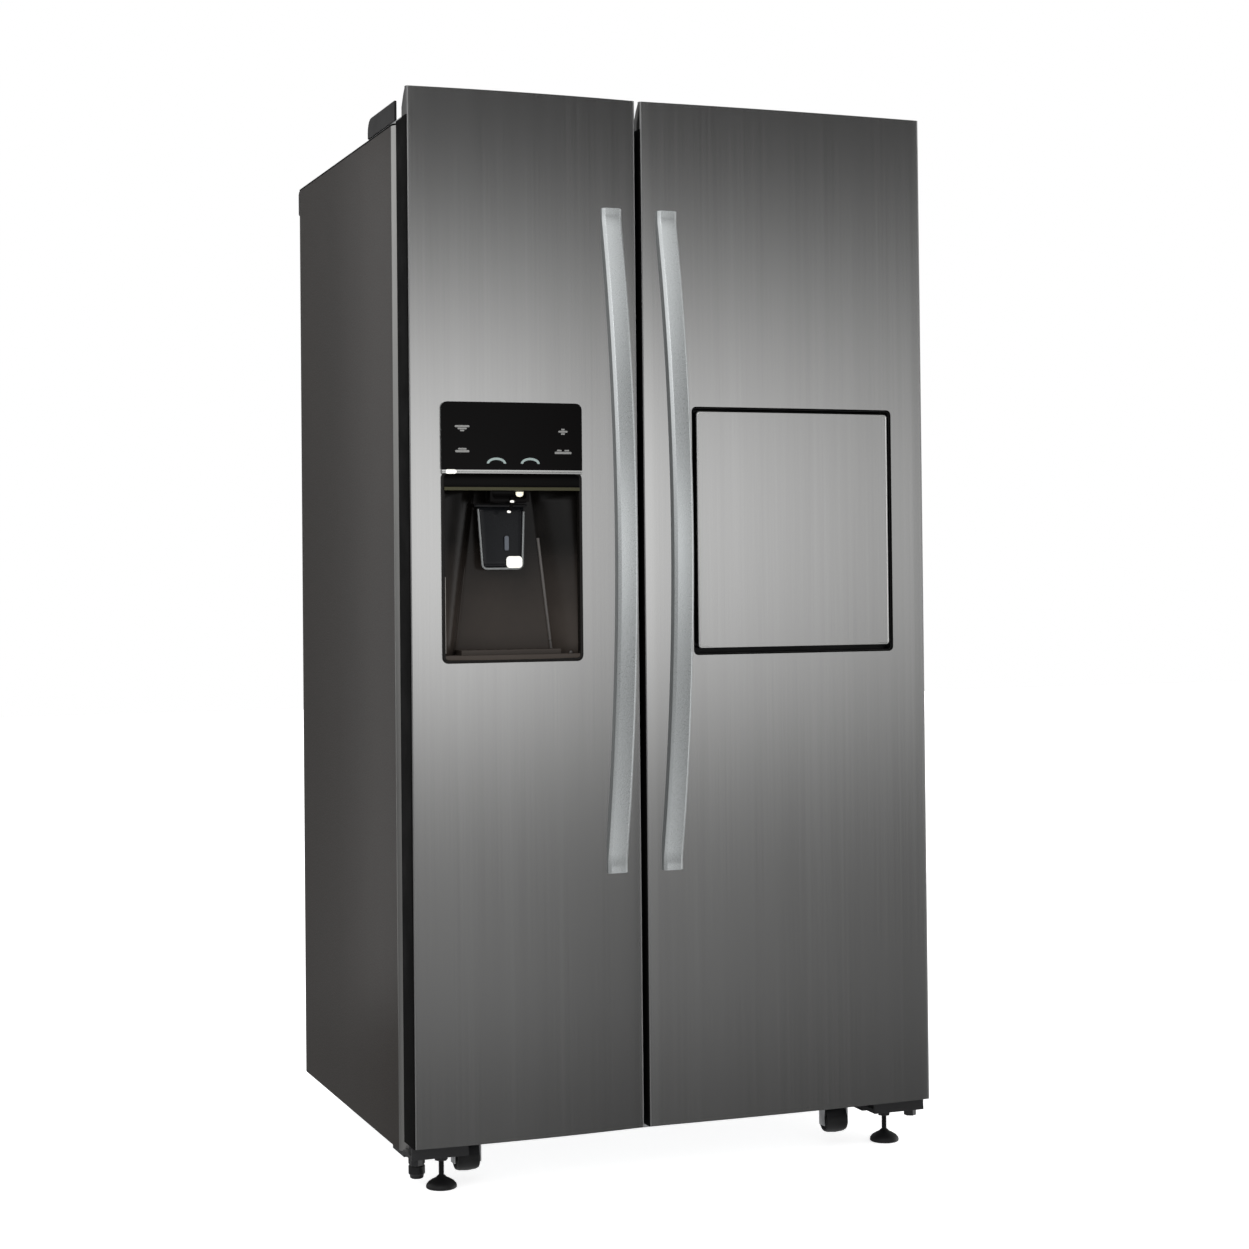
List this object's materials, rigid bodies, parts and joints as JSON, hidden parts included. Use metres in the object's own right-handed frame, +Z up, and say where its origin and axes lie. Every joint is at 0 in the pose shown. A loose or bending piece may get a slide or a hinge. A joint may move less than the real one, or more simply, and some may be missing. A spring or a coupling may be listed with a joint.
{
  "type": "side by side refrigerator",
  "caption": "Side by side refrigerator with a freezer door holding an ice and water dispenser, a fridge door with a drop-down home bar flap, and bowed handles.",
  "frame": {"origin": "on the floor, at the centre of the footprint from the handles' front to the rear trim's back", "axes": "+Z up, -Y out of the doors' front, +X to the right as seen from the front"},
  "size_m": [0.91, 0.849, 1.76],
  "materials": {
    "door_steel": "satin",
    "handle_metal": "satin",
    "cabinet_paint": "satin",
    "galvanised": "satin",
    "black_steel": "satin",
    "black_plastic": "satin",
    "gloss_black": "gloss",
    "grey_plastic": "satin",
    "white_liner": "satin",
    "foam": "matte",
    "gasket_rubber": "matte",
    "clear_plastic": "gloss",
    "shelf_glass": "gloss",
    "aluminium": "satin"
  },
  "bodies": {
    "cabinet": {"back_panel": "galvanised", "base_pan": "galvanised", "bottom_hinge_left": "black_steel", "bottom_hinge_right": "black_steel", "compressor": "black_steel", "condenser_coil": "black_steel", "condenser_fan_motor": "black_steel", "evaporator_coil": "aluminium", "evaporator_cover": "white_liner", "foam_insulation": "foam", "freezer_liner": "white_liner", "freezer_shelf": "shelf_glass", "fridge_liner": "white_liner", "fridge_shelf": "shelf_glass", "hinge_cover_left": "black_plastic", "hinge_cover_right": "black_plastic", "ice_bucket": "clear_plastic", "machine_room_cover": "galvanised", "rear_top_trim": "black_plastic", "side_panel_left": "cabinet_paint", "side_panel_right": "cabinet_paint", "top_hinge_left": "galvanised", "top_hinge_right": "galvanised", "top_panel": "cabinet_paint", "water_coupler": "black_plastic"},
    "freezer_door": {"freezer_door_skin": "door_steel", "freezer_door_foam": "foam", "freezer_door_liner": "white_liner", "freezer_door_gasket": "gasket_rubber", "freezer_door_top_cap": "grey_plastic", "freezer_door_bottom_cap": "grey_plastic", "freezer_door_handle": "handle_metal", "dispenser_housing": "black_plastic", "control_panel": "gloss_black", "ice_chute": "grey_plastic", "drip_tray": "grey_plastic", "freezer_door_bin": "clear_plastic"},
    "dispenser_paddle": {"dispenser_paddle": "clear_plastic"},
    "fridge_door": {"fridge_door_skin": "door_steel", "fridge_door_foam": "foam", "fridge_door_liner": "white_liner", "fridge_door_gasket": "gasket_rubber", "fridge_door_top_cap": "grey_plastic", "fridge_door_bottom_cap": "grey_plastic", "fridge_door_handle": "handle_metal", "home_bar_frame": "black_plastic", "fridge_door_bin": "clear_plastic"},
    "home_bar_flap": {"home_bar_door": "door_steel", "home_bar_inner_panel": "white_liner"},
    "foot_left": {"foot_left": "black_plastic"},
    "foot_right": {"foot_right": "black_plastic"},
    "front_roller_left": {"front_roller_left": "black_plastic"},
    "front_roller_right": {"front_roller_right": "black_plastic"},
    "rear_roller_left": {"rear_roller_left": "black_plastic"},
    "rear_roller_right": {"rear_roller_right": "black_plastic"},
    "condenser_fan": {"condenser_fan": "black_plastic"},
    "evaporator_fan": {"evaporator_fan": "white_liner"},
    "ice_auger": {"ice_auger": "aluminium"},
    "freezer_drawer": {"freezer_drawer": "clear_plastic"},
    "crisper_drawer": {"crisper_drawer": "clear_plastic"}
  },
  "joints": [
    {"name": "freezer_door_hinge", "type": "hinge", "parent": "cabinet", "child": "freezer_door", "pos_m": [-0.44, -0.3055, 0.9], "axis": [0, 0, -1], "range_deg": [0, 115]},
    {"name": "fridge_door_hinge", "type": "hinge", "parent": "cabinet", "child": "fridge_door", "pos_m": [0.44, -0.3055, 0.9], "axis": [0, 0, 1], "range_deg": [0, 115]},
    {"name": "home_bar_hinge", "type": "hinge", "parent": "fridge_door", "child": "home_bar_flap", "pos_m": [0.21, -0.3445, 0.869], "axis": [1, 0, 0], "range_deg": [0, 90]},
    {"name": "dispenser_paddle_hinge", "type": "hinge", "parent": "freezer_door", "child": "dispenser_paddle", "pos_m": [-0.2865, -0.3125, 1.098], "axis": [1, 0, 0], "range_deg": [0, 8], "stiffness_Nm_per_rad": 0.6, "springref_deg": -5.73},
    {"name": "foot_left_screw", "type": "slide", "parent": "cabinet", "child": "foot_left", "axis": [0, 0, 1], "range_m": [-0.01, 0.012]},
    {"name": "foot_right_screw", "type": "slide", "parent": "cabinet", "child": "foot_right", "axis": [0, 0, 1], "range_m": [-0.01, 0.012]},
    {"name": "front_roller_left_axle", "type": "hinge", "parent": "cabinet", "child": "front_roller_left", "pos_m": [-0.333, -0.2255, 0.036], "axis": [1, 0, 0], "continuous": true},
    {"name": "front_roller_right_axle", "type": "hinge", "parent": "cabinet", "child": "front_roller_right", "pos_m": [0.333, -0.2255, 0.036], "axis": [1, 0, 0], "continuous": true},
    {"name": "rear_roller_left_axle", "type": "hinge", "parent": "cabinet", "child": "rear_roller_left", "pos_m": [-0.355, 0.3295, 0.022], "axis": [1, 0, 0], "continuous": true},
    {"name": "rear_roller_right_axle", "type": "hinge", "parent": "cabinet", "child": "rear_roller_right", "pos_m": [0.355, 0.3295, 0.022], "axis": [1, 0, 0], "continuous": true},
    {"name": "condenser_fan_shaft", "type": "hinge", "parent": "cabinet", "child": "condenser_fan", "pos_m": [-0.03, 0.2715, 0.18], "axis": [1, 0, 0], "continuous": true},
    {"name": "evaporator_fan_shaft", "type": "hinge", "parent": "cabinet", "child": "evaporator_fan", "pos_m": [-0.2467, 0.2815, 1.45], "axis": [0, 1, 0], "continuous": true},
    {"name": "ice_auger_shaft", "type": "hinge", "parent": "cabinet", "child": "ice_auger", "pos_m": [-0.2865, 0.0495, 1.372], "axis": [0, 1, 0], "continuous": true},
    {"name": "freezer_drawer_slide", "type": "slide", "parent": "cabinet", "child": "freezer_drawer", "axis": [0, -1, 0], "range_m": [0, 0.04]},
    {"name": "crisper_drawer_slide", "type": "slide", "parent": "cabinet", "child": "crisper_drawer", "axis": [0, -1, 0], "range_m": [0, 0.04]}
  ]
}
